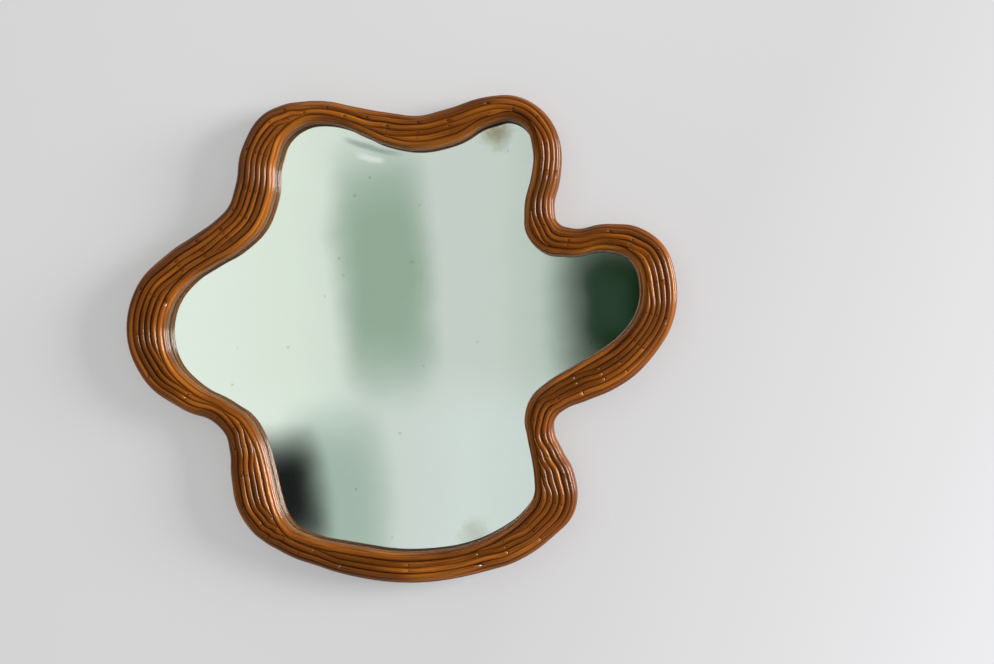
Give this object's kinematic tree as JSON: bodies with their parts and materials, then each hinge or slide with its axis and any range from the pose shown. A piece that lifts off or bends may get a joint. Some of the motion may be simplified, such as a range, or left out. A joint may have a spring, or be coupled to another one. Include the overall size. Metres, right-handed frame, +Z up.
{
  "type": "irregular wall mirror",
  "caption": "Wall mirror with an irregular lobed outline in a wide arched frame wrapped lengthwise with thin round reeds, hung from two rings on its back.",
  "frame": {"origin": "middle of the back of the frame, on the wall plane", "axes": "+X to the right as seen from the front, +Z up, +Y into the wall; the mirror faces -Y"},
  "size_m": [0.7505, 0.0494, 0.6578],
  "materials": {
    "lacquered_reed": "brown stained rattan cane under a gloss lacquer",
    "plywood": "bare birch plywood",
    "hardboard": "smooth tempered hardboard",
    "mirror_glass": "clear float glass with a slight green tint",
    "silver_coat": "silvering under grey backing paint",
    "backing_sheet": "soft pale grey card",
    "dark_steel": "dark annealed steel",
    "zinc_steel": "bright zinc plate"
  },
  "bodies": {
    "frame": {"back_panel": "hardboard", "backing_sheet": "backing_sheet", "crown_core_ring": "plywood", "filler_reed_01": "lacquered_reed", "filler_reed_02": "lacquered_reed", "filler_reed_03": "lacquered_reed", "filler_reed_04": "lacquered_reed", "filler_reed_05": "lacquered_reed", "filler_reed_06": "lacquered_reed", "filler_reed_07": "lacquered_reed", "filler_reed_08": "lacquered_reed", "filler_reed_09": "lacquered_reed", "filler_reed_10": "lacquered_reed", "filler_reed_11": "lacquered_reed", "filler_reed_12": "lacquered_reed", "filler_reed_13": "lacquered_reed", "filler_reed_14": "lacquered_reed", "filler_reed_15": "lacquered_reed", "filler_reed_16": "lacquered_reed", "front_lip_ring": "plywood", "glass_bed_ring": "plywood", "hanger_rivets": "zinc_steel", "left_hanger_strap": "zinc_steel", "lower_core_ring": "plywood", "mirror_glass": "mirror_glass", "panel_screws": "zinc_steel", "rear_rim": "plywood", "reed_01": "lacquered_reed", "reed_02": "lacquered_reed", "reed_03": "lacquered_reed", "reed_04": "lacquered_reed", "reed_05": "lacquered_reed", "reed_06": "lacquered_reed", "reed_07": "lacquered_reed", "reed_08": "lacquered_reed", "reed_09": "lacquered_reed", "reed_10": "lacquered_reed", "reed_11": "lacquered_reed", "reed_12": "lacquered_reed", "reed_brads": "dark_steel", "right_hanger_strap": "zinc_steel", "silver_coat": "silver_coat", "upper_core_ring": "plywood"},
    "left_ring": {"left_d_ring": "zinc_steel"},
    "right_ring": {"right_d_ring": "zinc_steel"}
  },
  "joints": [
    {"name": "left_ring_swing", "type": "hinge", "parent": "frame", "child": "left_ring", "pos_m": [-0.11, -0.0057, 0.19], "axis": [-1, 0, 0], "range_deg": [0, 170]},
    {"name": "right_ring_swing", "type": "hinge", "parent": "frame", "child": "right_ring", "pos_m": [0.11, -0.0057, 0.19], "axis": [-1, 0, 0], "range_deg": [0, 170]}
  ]
}
